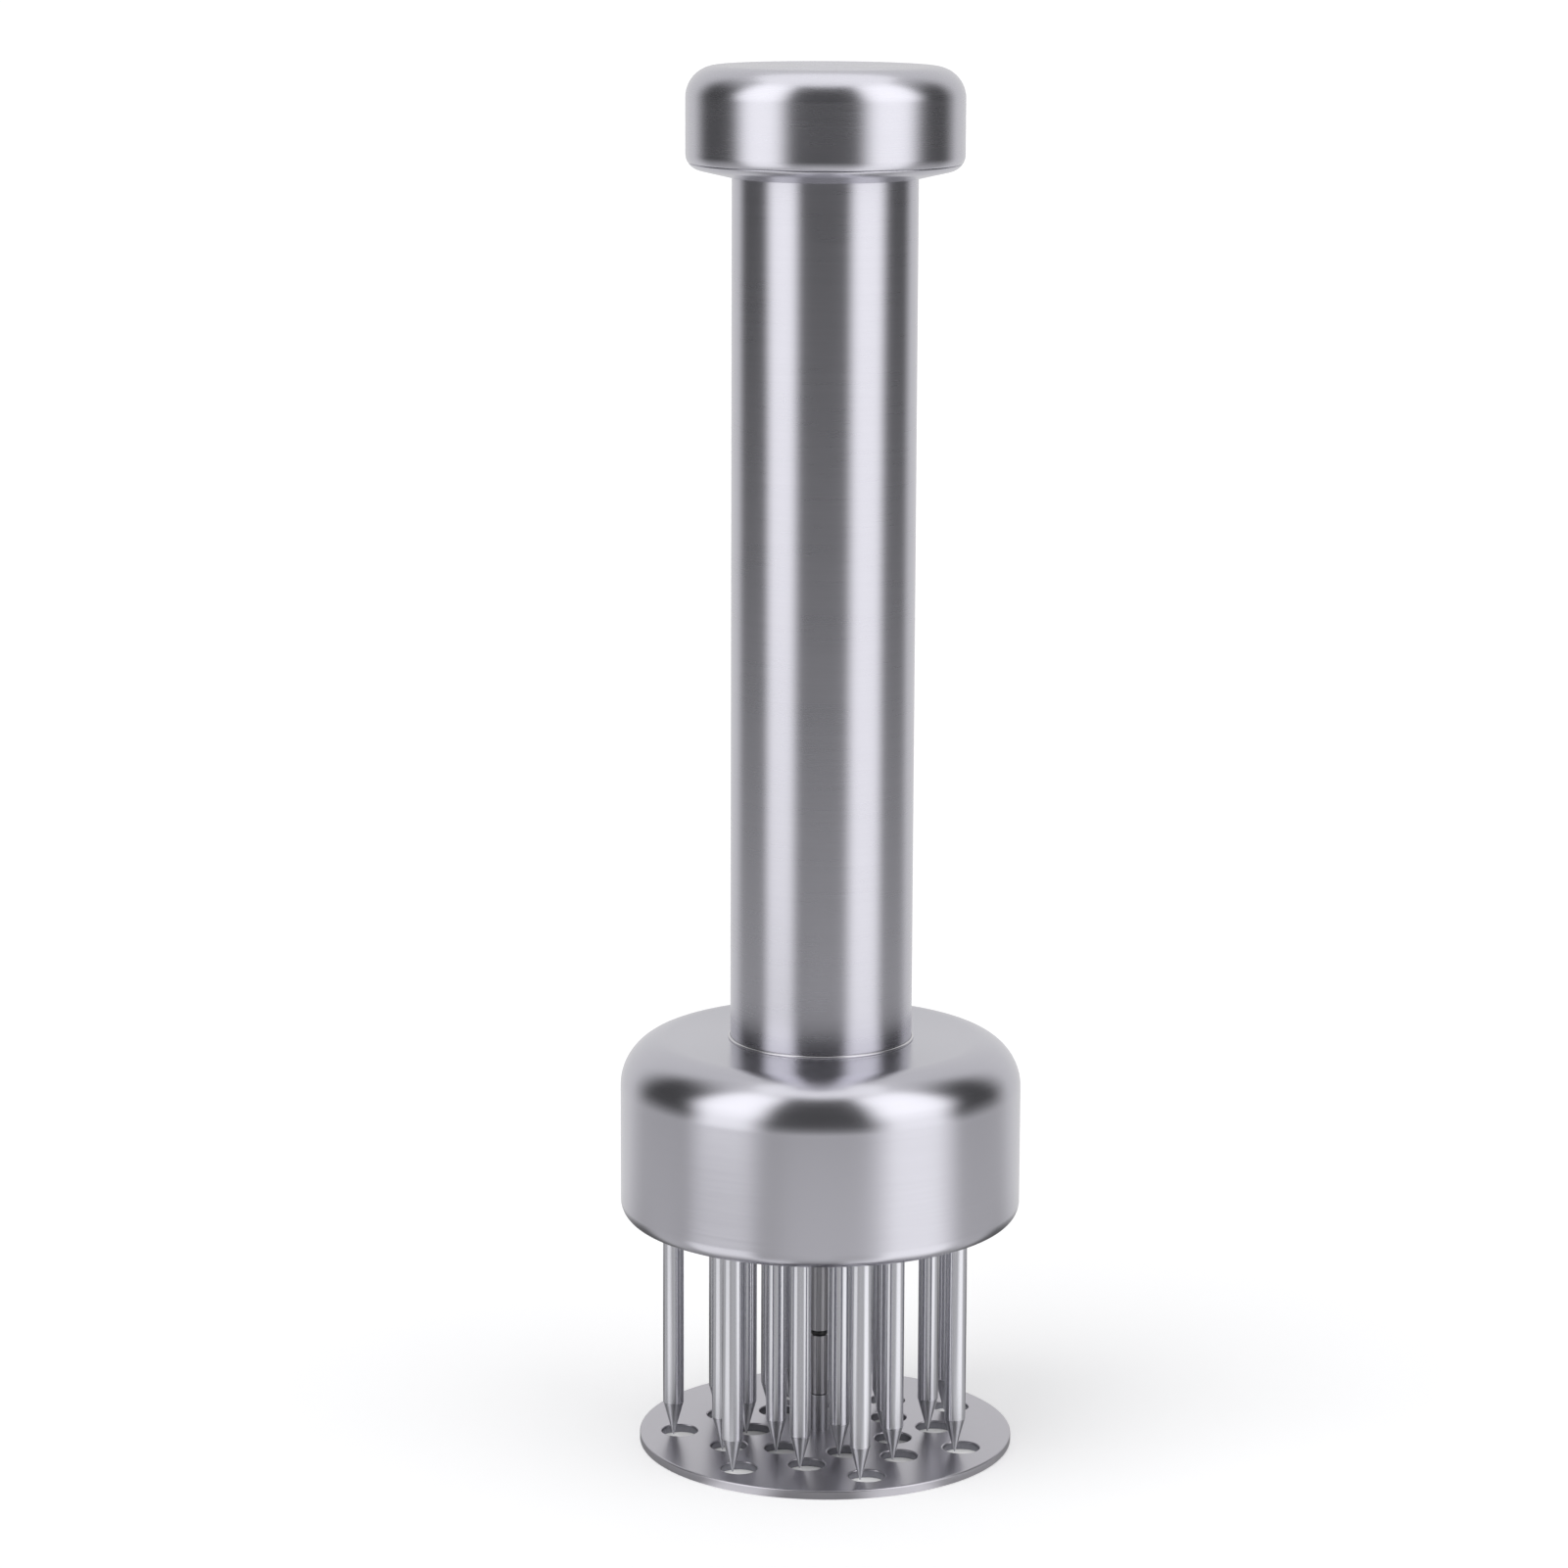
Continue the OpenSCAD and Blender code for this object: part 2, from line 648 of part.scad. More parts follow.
module needle(number) {
    tip_z = foot_t - tip_sink;
    head_z1 = plate_z1 - joint_gap;
    head_z0 = head_z1 - needle_head_h;
    color(steel)
        translate(needle_place(number))
            rotate_extrude($fn = small_fine)
                polygon([[0, tip_z], [needle_tip_d / 2, tip_z], [needle_d / 2, tip_z + needle_point],
                         [needle_d / 2, head_z0], [needle_head_d / 2, head_z0],
                         [needle_head_d / 2, head_z1], [0, head_z1]]);
}

knob_cap();
knob_base();
knob_core();
knob_stud();
handle_tube();
tube_top_plug();
spring_seat();
tube_foot_plug();
seam_ring();
bell_housing();
backing_block();
needle_plate();
plate_screws();
tie_bolt();
lower_bush();
upper_bush();
bumper();
foot_plate();
foot_boss();
guide_rod();
rod_ring();
stop_washer();
rod_nuts();
spring_piston();
return_spring();
for (number = [1:needle_total])
    needle(number);
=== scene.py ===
"""Needle meat tenderizer on a plain pale floor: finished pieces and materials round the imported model."""
import math

import bmesh
import bpy
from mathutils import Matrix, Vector


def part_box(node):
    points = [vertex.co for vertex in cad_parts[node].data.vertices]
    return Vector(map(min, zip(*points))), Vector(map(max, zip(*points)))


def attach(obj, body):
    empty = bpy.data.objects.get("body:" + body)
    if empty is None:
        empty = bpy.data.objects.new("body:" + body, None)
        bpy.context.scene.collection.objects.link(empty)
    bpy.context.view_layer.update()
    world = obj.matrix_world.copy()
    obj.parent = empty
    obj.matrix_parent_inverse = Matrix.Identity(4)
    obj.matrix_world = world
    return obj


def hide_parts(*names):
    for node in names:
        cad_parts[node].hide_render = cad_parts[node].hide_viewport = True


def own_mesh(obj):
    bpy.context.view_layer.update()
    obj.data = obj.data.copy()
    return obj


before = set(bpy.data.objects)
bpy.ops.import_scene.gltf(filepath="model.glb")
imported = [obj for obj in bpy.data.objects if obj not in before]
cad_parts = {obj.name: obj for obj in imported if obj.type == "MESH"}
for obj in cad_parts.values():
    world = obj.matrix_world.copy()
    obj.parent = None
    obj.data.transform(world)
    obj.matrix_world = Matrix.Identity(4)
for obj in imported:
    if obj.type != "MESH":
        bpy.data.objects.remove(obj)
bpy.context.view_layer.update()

MM = 0.001
# Sides of the large turned pieces, the small ones and the hexagons
WIDE_SIDES = 224
FINE_SIDES = 64
HEX_SIDES = 6
# Degrees between the points of a round, from the large rounds down to the small edges
LARGE_STEP = 3
MIDDLE_STEP = 5
RIM_STEP = 10
SMALL_STEP = 15
EDGE_STEP = 20
# Room between pieces that are pressed, screwed or glued together
FIT_GAP = 0.03 * MM
# Points of a CAD mesh that are closer than this are one point
MERGE_GAP = 0.001 * MM
# Round that a maker leaves on small edges, and on the ends of rods, bolts and screws
EDGE_ROUND = 0.12 * MM
END_ROUND = EDGE_ROUND * 2

# Knob
KNOB_TOP_ROUND = 4.4 * MM
KNOB_LOW_ROUND = 2.3 * MM
KNOB_WALL = 1.2 * MM
# Slope of the underside in degrees
KNOB_SLOPE = 12.5
# The seam lies this many degrees down the lower round, and the edges of cap and base turn in before it
KNOB_SEAM_ANGLE = 33
CAP_TURN_IN = 2
BASE_TURN_IN = 3
# Tube and bell
TUBE_WALL = 1.0 * MM
BELL_WALL = 1.2 * MM
BELL_TOP_ROUND = 7.0 * MM
BELL_LOW_ROUND = 2.5 * MM
LIP_WIDTH = 0.75 * MM
LIP_ROUND = 0.35 * MM
# Needles, needle plate and foot plate
NEEDLE_D = 3.0 * MM
NEEDLE_POINT = 5.0 * MM
NEEDLE_TIP_D = 0.2 * MM
NEEDLE_HEAD_H = 1.5 * MM
NEEDLE_PLATE_BEVEL = 0.25 * MM
FOOT_TOP_ROUND = 0.26 * MM
FOOT_LOW_ROUND = 0.22 * MM
HOLE_D = 5.3 * MM
HOLE_TOP_ROUND = 0.20 * MM
HOLE_LOW_ROUND = 0.32 * MM
# Rod, boss and their hidden ends
ROD_SPIGOT_D = 1.3 * MM
GROOVE_DEPTH = 0.4 * MM
GROOVE_LIP = 0.04 * MM
BOSS_D = 2.7 * MM
SHANK_D = 1.8 * MM
RIVET_H = 0.8 * MM
# Screws, bolt and bush under the bell
SCREW_D = 3.0 * MM
SCREW_HEAD_H = 1.7 * MM
SOCKET_FLATS = 2.0 * MM
SOCKET_DEPTH = 1.1 * MM
BOLT_SHANK_D = 10.0 * MM
BOLT_HEAD_H = 4.0 * MM
BOLT_HEAD_BEVEL = 0.36 * MM
BUSH_D = 5.0 * MM
BUSH_FLANGE_T = 1.9 * MM
# Return spring
WIRE_D = 1.6 * MM
SPRING_TURNS = 14
STEPS_PER_TURN = 32
WIRE_SIDES = 12


def reach(node):
    """Radius, lowest and highest z of a node that is turned round the z axis."""
    low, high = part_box(node)
    return max(high.x, high.y), low.z, high.z


def middle(node):
    """Place of a node's middle on the floor plan."""
    low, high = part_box(node)
    return Vector(((low.x + high.x) / 2, (low.y + high.y) / 2))


knob_r, seam_z, knob_top = reach("knob_cap")
_, knob_foot, base_top = reach("knob_base")
tube_r, bell_top, tube_top = reach("handle_tube")
bell_r, rim_z, _ = reach("bell_housing")
bead_r, _, bead_top = reach("seam_ring")
plate_r, plate_low, plate_top = reach("needle_plate")
bolt_r, bolt_low, bolt_top = reach("tie_bolt")
bush_r, bush_low, bush_top = reach("lower_bush")
rod_r, rod_low, rod_top = reach("guide_rod")
ring_r, ring_low, ring_top = reach("rod_ring")
rivet_r, _, boss_top = reach("foot_boss")
spring_r, spring_low, spring_top = reach("return_spring")
foot_low, foot_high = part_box("foot_plate")
foot_r = (foot_high.x - foot_low.x) / 2
foot_top = foot_high.z
foot_place = middle("foot_plate")
needles = sorted(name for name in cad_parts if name.startswith("needle_") and name != "needle_plate")
needle_low, needle_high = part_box(needles[0])
needle_head_r = (needle_high.x - needle_low.x) / 2


# Outlines: lists of (radius, z) points, turned round an upright axis

def arc(centre_r, centre_z, radius, start, end, step=MIDDLE_STEP):
    """Points of a round, from one angle to another in degrees above the outward direction."""
    steps = max(3, round(abs(end - start) / step))
    angles = [math.radians(start + (end - start) * i / steps) for i in range(steps + 1)]
    return [(centre_r + radius * math.cos(a), centre_z + radius * math.sin(a)) for a in angles]


def rounded(corners, step=MIDDLE_STEP):
    """Points of a closed outline given as (radius, z, round) corners, with each round as an arc."""
    points = []
    for i, (r, z, size) in enumerate(corners):
        here = Vector((r, z))
        if size <= 0:
            points.append((r, z))
            continue
        before = (Vector(corners[i - 1][:2]) - here).normalized()
        after = (Vector(corners[(i + 1) % len(corners)][:2]) - here).normalized()
        half = before.angle(after) / 2
        centre = here + (before + after).normalized() * size / math.sin(half)
        start = here + before * size / math.tan(half) - centre
        end = here + after * size / math.tan(half) - centre
        turn = start.angle_signed(end)
        steps = max(3, round(math.degrees(abs(turn)) / step))
        for k in range(steps + 1):
            share = k / steps
            spot = start * math.sin((1 - share) * abs(turn)) + end * math.sin(share * abs(turn))
            points.append(tuple(centre + spot / math.sin(abs(turn))))
    return points


# Meshes

def add_wall(mesh, centre, outline, sides, turn=0.0):
    """Adds the wall that an outline draws round a centre, and returns its first and last rings."""
    rings = []
    for radius, z in outline:
        if radius <= 0:
            rings.append([mesh.verts.new((centre[0], centre[1], z))])
            continue
        angles = [turn + 2 * math.pi * side / sides for side in range(sides)]
        rings.append([mesh.verts.new((centre[0] + radius * math.cos(a),
                                      centre[1] + radius * math.sin(a), z)) for a in angles])
    for lower, upper in zip(rings, rings[1:]):
        join_rings(mesh, lower, upper)
    return rings[0], rings[-1]


def join_rings(mesh, lower, upper):
    """Adds the faces between two rings; a ring of one point makes a fan."""
    sides = max(len(lower), len(upper))
    for side in range(sides):
        after = (side + 1) % sides
        corners = [lower[side % len(lower)], lower[after % len(lower)],
                   upper[after % len(upper)], upper[side % len(upper)]]
        face = mesh.faces.new(list(dict.fromkeys(corners)))
        face.smooth = True


def add_cap(mesh, *rings):
    """Fills the flat face inside the first ring and outside the others."""
    edges = []
    for ring in rings:
        for here, after in zip(ring, ring[1:] + ring[:1]):
            edges.append(mesh.edges.get((here, after)) or mesh.edges.new((here, after)))
    bmesh.ops.triangle_fill(mesh, use_beauty=True, use_dissolve=False, edges=edges)


def make_piece(name, mesh, body, material, slot, *nodes):
    """Turns a finished mesh into a piece that rides on a body and stands for CAD nodes."""
    bmesh.ops.recalc_face_normals(mesh, faces=mesh.faces)
    data = bpy.data.meshes.new(name)
    mesh.to_mesh(data)
    mesh.free()
    data.materials.append(material)
    return place_piece(name, data, body, slot, *nodes)


def place_piece(name, data, body, slot, *nodes, at=(0, 0)):
    """Puts a mesh in the scene on its body; large flat faces keep their true direction beside rounds."""
    piece = bpy.data.objects.new(name, data)
    bpy.context.scene.collection.objects.link(piece)
    piece.location = (at[0], at[1], 0)
    piece.modifiers.new("true flats", "WEIGHTED_NORMAL").keep_sharp = True
    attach(piece, body)
    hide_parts(*nodes)
    return piece


def turned(name, outline, body, material, slot, *nodes, sides=WIDE_SIDES, closed=True):
    """A turned piece. A closed outline is a loop; an open one starts and ends on the axis."""
    mesh = bmesh.new()
    first, last = add_wall(mesh, (0, 0), outline, sides)
    if closed:
        join_rings(mesh, last, first)
    return make_piece(name, mesh, body, material, slot, *nodes)


# Materials

def linear(hex_colour):
    """An sRGB hex colour as the linear values that shaders use."""
    channels = [int(hex_colour[i:i + 2], 16) / 255 for i in (1, 3, 5)]
    return tuple(c / 12.92 if c <= 0.04045 else ((c + 0.055) / 1.055) ** 2.4 for c in channels) + (1.0,)


def add(tree, kind, inputs=None, **settings):
    """Adds a node with its settings, and sets or links its inputs."""
    node = tree.nodes.new(kind)
    for key, value in settings.items():
        setattr(node, key, value)
    for key, value in (inputs or {}).items():
        if isinstance(value, bpy.types.NodeSocket):
            tree.links.new(value, node.inputs[key])
        else:
            node.inputs[key].default_value = value
    return node


def new_material(name):
    """An empty material with its shader linked to the output."""
    material = bpy.data.materials.new(name)
    material.use_nodes = True
    tree = material.node_tree
    tree.nodes.clear()
    shader = add(tree, "ShaderNodeBsdfPrincipled")
    add(tree, "ShaderNodeOutputMaterial", {"Surface": shader.outputs[0]})
    return material, tree, shader


# Lines of a turned or brushed surface run this far round before they fade, counted per radius
LINE_RUN = 1.4
# Patches of slightly different sheen, from handling and from the sheet, and their share beside the lines
PATCH_SIZE = 9 * MM
PATCH_SHARE = 0.35
# Nearly all values of the noise lie between these two
NOISE_LOW = 0.3
NOISE_HIGH = 0.7
# A quarter turn lays the long side of a reflection along the axis, across the lines
ACROSS_THE_LINES = 0.25


def steel(name, colour, dark, roughness, anisotropy, line, line_depth, rough_change):
    """Steel finished round its axis: fine lines of one spacing, which stretch reflections along the axis."""
    material, tree, shader = new_material(name)
    place = add(tree, "ShaderNodeTexCoord").outputs["Object"]
    height = add(tree, "ShaderNodeSeparateXYZ", {0: place}).outputs["Z"]
    plan = add(tree, "ShaderNodeVectorMath", {0: place, 1: (1, 1, 0)}, operation="MULTIPLY").outputs[0]
    radius = add(tree, "ShaderNodeVectorMath", {0: plan}, operation="LENGTH").outputs["Value"]
    around = add(tree, "ShaderNodeVectorMath", {0: plan}, operation="NORMALIZE").outputs[0]
    around = add(tree, "ShaderNodeVectorMath", {0: around, "Scale": LINE_RUN}, operation="SCALE").outputs[0]
    parts = add(tree, "ShaderNodeSeparateXYZ", {0: around}).outputs
    height = add(tree, "ShaderNodeMath", {0: height, 1: 1 / line}, operation="MULTIPLY").outputs[0]
    radius = add(tree, "ShaderNodeMath", {0: radius, 1: 1 / line}, operation="MULTIPLY").outputs[0]
    across = add(tree, "ShaderNodeCombineXYZ", {0: parts["X"], 1: parts["Y"], 2: height}).outputs[0]
    lines = add(tree, "ShaderNodeTexNoise", {"Vector": across, "W": radius, "Scale": 1.0, "Detail": 2.0,
                                             "Roughness": 0.6}, noise_dimensions="4D").outputs[0]
    patches = add(tree, "ShaderNodeTexNoise", {"Vector": place, "Scale": 1 / PATCH_SIZE, "Detail": 2.0,
                                               "Roughness": 0.5}).outputs[0]
    both = add(tree, "ShaderNodeMix", {"Factor": PATCH_SHARE, 2: lines, 3: patches},
               data_type="FLOAT").outputs[0]
    rough = add(tree, "ShaderNodeMapRange", {"Value": both, "From Min": NOISE_LOW, "From Max": NOISE_HIGH,
                                             "To Min": roughness - rough_change,
                                             "To Max": roughness + rough_change}).outputs[0]
    tint = add(tree, "ShaderNodeMix", {"Factor": both, 6: linear(dark), 7: linear(colour)},
               data_type="RGBA").outputs[2]
    bump = add(tree, "ShaderNodeBump", {"Height": lines, "Strength": 1.0, "Distance": line_depth}).outputs[0]
    tangent = add(tree, "ShaderNodeTangent", direction_type="RADIAL", axis="Z").outputs[0]
    tree.links.new(tint, shader.inputs["Base Color"])
    tree.links.new(rough, shader.inputs["Roughness"])
    tree.links.new(bump, shader.inputs["Normal"])
    tree.links.new(tangent, shader.inputs["Tangent"])
    shader.inputs["Metallic"].default_value = 1.0
    shader.inputs["Anisotropic"].default_value = anisotropy
    shader.inputs["Anisotropic Rotation"].default_value = ACROSS_THE_LINES
    return material


def soft_solid(name, colour, dark, roughness, grain, grain_depth, metallic=0.0, ior=1.5, rough_change=0.1):
    """A plain solid with a fine even grain: rubber, nylon, cast alloy or tumbled sheet."""
    material, tree, shader = new_material(name)
    place = add(tree, "ShaderNodeTexCoord").outputs["Object"]
    specks = add(tree, "ShaderNodeTexNoise", {"Vector": place, "Scale": 1 / grain, "Detail": 3.0,
                                              "Roughness": 0.6}).outputs[0]
    tint = add(tree, "ShaderNodeMix", {"Factor": specks, 6: linear(dark), 7: linear(colour)},
               data_type="RGBA").outputs[2]
    rough = add(tree, "ShaderNodeMapRange", {"Value": specks, "From Min": NOISE_LOW, "From Max": NOISE_HIGH,
                                             "To Min": roughness * (1 - rough_change),
                                             "To Max": roughness * (1 + rough_change)}).outputs[0]
    bump = add(tree, "ShaderNodeBump", {"Height": specks, "Strength": 1.0,
                                        "Distance": grain_depth}).outputs[0]
    tree.links.new(tint, shader.inputs["Base Color"])
    tree.links.new(rough, shader.inputs["Roughness"])
    tree.links.new(bump, shader.inputs["Normal"])
    shader.inputs["Metallic"].default_value = metallic
    shader.inputs["IOR"].default_value = ior
    return material


# The lines of brushing, spinning, grinding and turning really lie 0.02 to 0.1 mm apart, which is too
# fine to show, so they are drawn this far apart
BRUSHED_LINE = 0.40 * MM
TURNED_LINE = 0.30 * MM
BLASTED_LINE = 0.25 * MM
# Skins of tumbled, punched, cast and moulded pieces, whose real grain of 0.05 to 0.2 mm is too fine too
TUMBLED_GRAIN = 1.5 * MM
CAST_GRAIN = 0.6 * MM
NYLON_GRAIN = 0.5 * MM
FINE_GRAIN = 0.3 * MM

# Each finish has its colour and a darker one, its roughness, the anisotropy of a lined steel, the spacing
# and depth of its lines or grain, and how far its roughness changes.

# Stainless tube, brushed round its axis: soft bright bands run along it
satin_steel = steel("brushed stainless tube", "#CCCBD3", "#C1C0C8", 0.28, 0.82,
                    BRUSHED_LINE, 0.0003 * MM, 0.014)
# Stainless sheet, spun into the bell: wide soft bands that follow the rounds
bell_steel = steel("spun stainless bell", "#CCCBD3", "#C4C3CB", 0.23, 0.60,
                   BRUSHED_LINE, 0.0003 * MM, 0.012)
# The knob is spun the same way and is a little duller: the same bands with softer edges
knob_steel = steel("spun stainless knob", "#CCCBD3", "#C5C4CC", 0.27, 0.60,
                   BRUSHED_LINE, 0.0003 * MM, 0.012)
# Ground bar steel: clear thin streaks along each needle
needle_steel = steel("ground stainless bar", "#D6D6DC", "#CFCFD5", 0.22, 0.95,
                     TURNED_LINE, 0.0001 * MM, 0.01)
# The points are turned, so they are rougher: bright and dark stripes run together into the tip
point_steel = steel("turned stainless point", "#D6D6DC", "#CFCFD5", 0.50, 1.0,
                    TURNED_LINE, 0.0001 * MM, 0.01)
# Polished bead at the tube's foot: nearly a mirror
polished_steel = steel("polished stainless steel", "#D8D7DA", "#D2D1D5", 0.12, 0.30,
                       TURNED_LINE, 0.0001 * MM, 0.01)
# Hardened and ground rod with soft reflections, darker than the stainless parts as painted shade and dark
# reflection between the needles
shaded_rod_steel = steel("ground steel rod with painted shade", "#A6A5A9", "#9B9A9E", 0.29, 0.50,
                  TURNED_LINE, 0.0001 * MM, 0.01)
# Turned bar, blasted with fine grit: pale and dull
matt_steel = steel("blasted stainless bar", "#BDBDC2", "#AFAFB4", 0.36, 0.0,
                   BLASTED_LINE, 0.0006 * MM, 0.03)
# Zinc plated steel of the hidden screws, plugs and nuts: grey with a soft shine
plain_steel = steel("zinc plated steel", "#B4B5B8", "#A2A3A7", 0.34, 0.30,
                    TURNED_LINE, 0.0004 * MM, 0.04)
# Hard drawn wire of the spring, oiled: darker, with a line of light along each turn
spring_steel = steel("hard drawn spring wire", "#9C9B9D", "#88878A", 0.30, 0.20,
                     TURNED_LINE, 0.0003 * MM, 0.04)
# Bearing brass, turned: warm yellow with a soft shine
bearing_brass = steel("turned bearing brass", "#D8B56A", "#C79F52", 0.26, 0.40,
                      TURNED_LINE, 0.0003 * MM, 0.03)
# Tumbled sheet steel: an even satin without lines, in which the needles show as soft streaks
plate_steel = soft_solid("tumbled stainless sheet", "#C6C4CB", "#C1BFC6", 0.29,
                         TUMBLED_GRAIN, 0.0001 * MM, metallic=1.0, rough_change=0.03)
# Torn walls of punched holes: duller than the sheet's face from the tearing, and darker as painted shade
# inside the holes
punched_shaded_steel = soft_solid("punched sheet edge with painted shade", "#9A9AA1", "#87878E", 0.40,
                           FINE_GRAIN, 0.002 * MM, metallic=1.0)
# Cast zinc alloy: dull grey with a fine skin
alloy = soft_solid("cast zinc alloy", "#B9BABC", "#A8A9AB", 0.45,
                   CAST_GRAIN, 0.002 * MM, metallic=1.0)
# Nitrile rubber, moulded: black with a soft gloss
black_rubber = soft_solid("moulded nitrile rubber", "#1B1B1D", "#131314", 0.36,
                          FINE_GRAIN, 0.003 * MM, ior=1.52)
# Nylon, moulded: milky white and waxy
white_nylon = soft_solid("moulded nylon", "#E6E3DA", "#DAD6CC", 0.42,
                         NYLON_GRAIN, 0.002 * MM, ior=1.53)


# Knob: a spun cap over a base ring, joined on the lower round

def make_knob():
    low_r = knob_r - KNOB_LOW_ROUND
    low_z = seam_z + KNOB_LOW_ROUND * math.sin(math.radians(KNOB_SEAM_ANGLE))
    top_r = knob_r - KNOB_TOP_ROUND
    top_z = knob_top - KNOB_TOP_ROUND
    inner_r = knob_r - KNOB_WALL
    seam_r = low_r + (KNOB_LOW_ROUND - EDGE_ROUND) * math.cos(math.radians(KNOB_SEAM_ANGLE))
    cap = [(0, knob_top)]
    cap += arc(top_r, top_z, KNOB_TOP_ROUND, 90, 0, step=LARGE_STEP)
    cap += arc(low_r, low_z, KNOB_LOW_ROUND, 0, CAP_TURN_IN - KNOB_SEAM_ANGLE, step=LARGE_STEP)
    cap += [(seam_r, seam_z), (inner_r, seam_z)]
    cap += arc(top_r, top_z, KNOB_TOP_ROUND - KNOB_WALL, 0, 90)
    cap += [(0, knob_top - KNOB_WALL)]
    turned("spun_knob_cap", cap, "handle", knob_steel, "satin_steel", "knob_cap", closed=False)

    seam_low = seam_z - FIT_GAP
    base = arc(tube_r + FIT_GAP + EDGE_ROUND, knob_foot + EDGE_ROUND, EDGE_ROUND, 180, 270 + KNOB_SLOPE)
    base += arc(low_r, low_z, KNOB_LOW_ROUND, KNOB_SLOPE - 90, -KNOB_SEAM_ANGLE - BASE_TURN_IN,
                step=LARGE_STEP)
    base += [(seam_r, seam_low), (inner_r - FIT_GAP, seam_low)]
    base += [(inner_r - FIT_GAP, base_top), (tube_r + FIT_GAP, base_top)]
    turned("spun_knob_base", base, "handle", knob_steel, "satin_steel", "knob_base")


# Handle tube and the polished bead at its foot

def make_tube():
    bore_r = tube_r - TUBE_WALL
    tube = rounded([(tube_r, bell_top, EDGE_ROUND), (tube_r, tube_top, EDGE_ROUND),
                    (bore_r, tube_top, EDGE_ROUND), (bore_r, bell_top, EDGE_ROUND)])
    turned("drawn_handle_tube", tube, "handle", satin_steel, "satin_steel", "handle_tube")
    bead_mid = (bell_top + bead_top) / 2
    bead = rounded([(tube_r + FIT_GAP, bell_top, 0), (bead_r, bell_top, 0),
                    (bead_r, bead_mid, EDGE_ROUND), (tube_r + FIT_GAP, bead_top, 0)])
    turned("polished_bead", bead, "handle", polished_steel, "polished_steel", "seam_ring")


# Bell with its wide shoulder, rounded rim and inward lip

def make_bell():
    hole_r = BOLT_SHANK_D / 2 + FIT_GAP
    lip_r = bell_r - BELL_LOW_ROUND - LIP_WIDTH
    inner_r = bell_r - BELL_WALL
    bell = rounded([(hole_r, bell_top, EDGE_ROUND), (bell_r, bell_top, BELL_TOP_ROUND),
                    (bell_r, rim_z, BELL_LOW_ROUND), (lip_r, rim_z, LIP_ROUND),
                    (lip_r, rim_z + BELL_WALL, LIP_ROUND),
                    (inner_r, rim_z + BELL_WALL, BELL_LOW_ROUND - BELL_WALL),
                    (inner_r, bell_top - BELL_WALL, BELL_TOP_ROUND - BELL_WALL),
                    (hole_r, bell_top - BELL_WALL, EDGE_ROUND)], step=LARGE_STEP)
    turned("spun_bell", bell, "handle", bell_steel, "satin_steel", "bell_housing")


# Needles: one shape, placed at each needle's node

def make_needles():
    tip_z, head_z1 = needle_low.z, needle_high.z
    head_z0 = head_z1 - NEEDLE_HEAD_H
    point_z = tip_z + NEEDLE_POINT
    bevel = EDGE_ROUND / 2
    outline = [(0, tip_z), (NEEDLE_TIP_D / 2, tip_z), (NEEDLE_D / 2 - bevel / 2, point_z - bevel)]
    outline += [(NEEDLE_D / 2, point_z + bevel), (NEEDLE_D / 2, head_z0)]
    outline += [(needle_head_r, head_z0), (needle_head_r, head_z1), (0, head_z1)]
    mesh = bmesh.new()
    add_wall(mesh, (0, 0), outline, FINE_SIDES)
    bmesh.ops.recalc_face_normals(mesh, faces=mesh.faces)
    for face in mesh.faces:
        face.material_index = int(face.calc_center_median().z < point_z - EDGE_ROUND)
    data = bpy.data.meshes.new("ground_needle")
    mesh.to_mesh(data)
    mesh.free()
    data.materials.append(needle_steel)
    data.materials.append(point_steel)
    for node in needles:
        place_piece("ground_" + node, data, "handle", "polished_steel", node, at=middle(node))


# Needle plate with its countersunk screws, and the hollow bolt and bush in its middle

def screw_places():
    """Middles of the three screws, found as the middles of the solids in their node."""
    mesh = bmesh.new()
    mesh.from_mesh(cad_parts["plate_screws"].data)
    bmesh.ops.remove_doubles(mesh, verts=mesh.verts, dist=MERGE_GAP)
    places = []
    left = set(mesh.verts)
    while left:
        island, todo = [], [left.pop()]
        while todo:
            here = todo.pop()
            island.append(here.co.copy())
            near = [edge.other_vert(here) for edge in here.link_edges]
            todo += [vert for vert in near if vert in left]
            left.difference_update(near)
        low = [min(point[axis] for point in island) for axis in (0, 1)]
        high = [max(point[axis] for point in island) for axis in (0, 1)]
        places.append(Vector(((low[0] + high[0]) / 2, (low[1] + high[1]) / 2)))
    mesh.free()
    return sorted(places, key=lambda place: (place.x, place.y))


